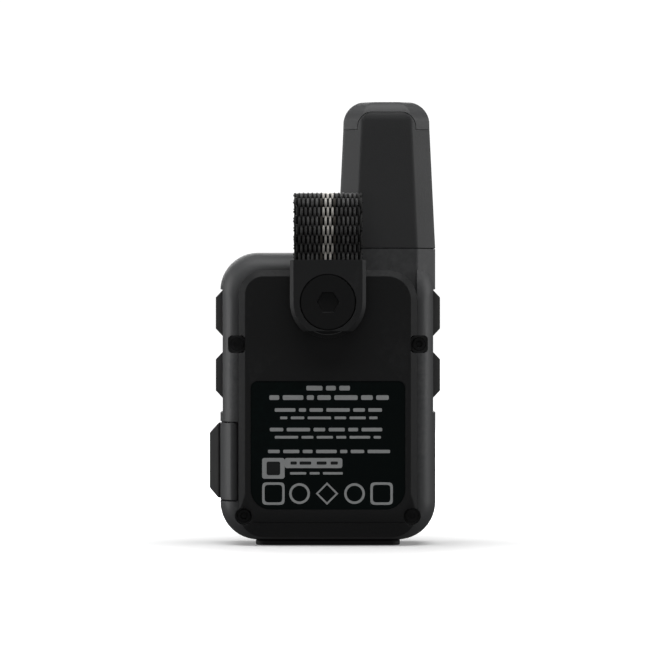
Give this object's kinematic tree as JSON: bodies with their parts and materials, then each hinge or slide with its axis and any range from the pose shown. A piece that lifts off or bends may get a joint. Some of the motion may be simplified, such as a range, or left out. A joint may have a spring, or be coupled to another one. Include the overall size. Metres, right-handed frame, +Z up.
{
  "type": "emergency position beacon",
  "caption": "Pocket satellite distress beacon: two-part case with a stub antenna, side keys, a hinged cover over the alarm key, a socket cover and a webbing loop clamped to its back.",
  "frame": {"origin": "centre of the rubber foot's underside, on the surface the beacon stands on", "axes": "+Z up along the antenna, +Y out of the back with the clip and label, the display faces -Y, +X on the alarm key's side"},
  "size_m": [0.0518, 0.0274, 0.099],
  "materials": {
    "case_black": "satin",
    "case_grey": "matte",
    "panel_black": "matte",
    "antenna_grey": "matte",
    "cap_grey": "matte",
    "rubber_black": "matte",
    "rubber_grey": "matte",
    "alarm_orange": "satin",
    "window_glass": "gloss",
    "display_glass": "gloss",
    "light_guide": "gloss",
    "board_green": "satin",
    "flex_amber": "satin",
    "shield_steel": "satin",
    "socket_steel": "satin",
    "brass": "satin",
    "screw_black": "satin",
    "cell_foil": "satin",
    "foam": "matte",
    "lead_red": "satin",
    "ceramic": "matte",
    "former": "matte",
    "copper": "satin",
    "coax_brown": "satin",
    "pin_steel": "satin",
    "webbing": "woven",
    "label_film": "satin"
  },
  "bodies": {
    "device": {"front_case": "case_black", "display_window": "window_glass", "window_gasket": "foam", "display_panel": "display_glass", "display_backlight": "light_guide", "display_flex": "flex_amber", "inner_frame": "case_black", "main_board": "board_green", "radio_shield": "shield_steel", "gps_shield": "shield_steel", "battery": "cell_foil", "battery_pad": "foam", "battery_lead": "lead_red", "buzzer": "case_black", "status_light_pipe": "light_guide", "usb_socket": "socket_steel", "gps_patch": "ceramic", "switch_up": "case_black", "switch_down": "case_black", "switch_ok": "case_black", "switch_back": "case_black", "switch_power": "case_black", "switch_alarm": "case_black", "rear_case": "case_grey", "rear_panel": "panel_black", "rear_label": "label_film", "foot_pad": "rubber_grey", "case_screw_1": "screw_black", "case_screw_2": "screw_black", "case_screw_3": "screw_black", "case_screw_4": "screw_black", "case_insert_1": "brass", "case_insert_2": "brass", "case_insert_3": "brass", "case_insert_4": "brass", "cover_hinge_pin": "pin_steel", "antenna_shell": "antenna_grey", "antenna_cap": "cap_grey", "antenna_seal": "foam", "antenna_former": "former", "antenna_helix": "copper", "antenna_coax": "coax_brown", "clip_insert": "brass", "clip_body": "panel_black", "clip_screw": "screw_black", "strap_bar": "pin_steel", "strap_tail": "webbing"},
    "up_key": {"up_key": "rubber_grey"},
    "down_key": {"down_key": "rubber_grey"},
    "ok_key": {"ok_key": "rubber_grey"},
    "back_key": {"back_key": "rubber_grey"},
    "power_key": {"power_key": "rubber_black"},
    "alarm_key": {"alarm_key": "alarm_orange"},
    "alarm_cover": {"alarm_cover": "case_grey", "cover_grip": "rubber_black"},
    "usb_cap": {"usb_cap": "rubber_black"},
    "strap": {"strap_loop": "webbing"}
  },
  "joints": [
    {"name": "up_press", "type": "slide", "parent": "device", "child": "up_key", "axis": [1, 0, 0], "range_m": [0, 0.00045], "stiffness_N_per_m": 4000, "springref_m": -0.0003},
    {"name": "down_press", "type": "slide", "parent": "device", "child": "down_key", "axis": [1, 0, 0], "range_m": [0, 0.00045], "stiffness_N_per_m": 4000, "springref_m": -0.0003},
    {"name": "ok_press", "type": "slide", "parent": "device", "child": "ok_key", "axis": [-1, 0, 0], "range_m": [0, 0.00045], "stiffness_N_per_m": 4000, "springref_m": -0.0003},
    {"name": "back_press", "type": "slide", "parent": "device", "child": "back_key", "axis": [-1, 0, 0], "range_m": [0, 0.00045], "stiffness_N_per_m": 4000, "springref_m": -0.0003},
    {"name": "power_press", "type": "slide", "parent": "device", "child": "power_key", "axis": [0, 0, -1], "range_m": [0, 0.0004], "stiffness_N_per_m": 4000, "springref_m": -0.0003},
    {"name": "alarm_press", "type": "slide", "parent": "device", "child": "alarm_key", "axis": [-1, 0, 0], "range_m": [0, 0.0006], "stiffness_N_per_m": 3500, "springref_m": -0.0004},
    {"name": "alarm_cover_hinge", "type": "hinge", "parent": "device", "child": "alarm_cover", "pos_m": [0.021, 0.0074, 0.0187], "axis": [0, 0, 1], "range_deg": [0, 110]},
    {"name": "usb_cap_hinge", "type": "hinge", "parent": "device", "child": "usb_cap", "pos_m": [-0.0241, -0.00275, 0.0122], "axis": [0, -1, 0], "range_deg": [0, 100]},
    {"name": "strap_swing", "type": "hinge", "parent": "device", "child": "strap", "pos_m": [0, 0.0146, 0.06365], "axis": [-1, 0, 0], "range_deg": [0, 80], "stiffness_Nm_per_rad": 0.004}
  ]
}
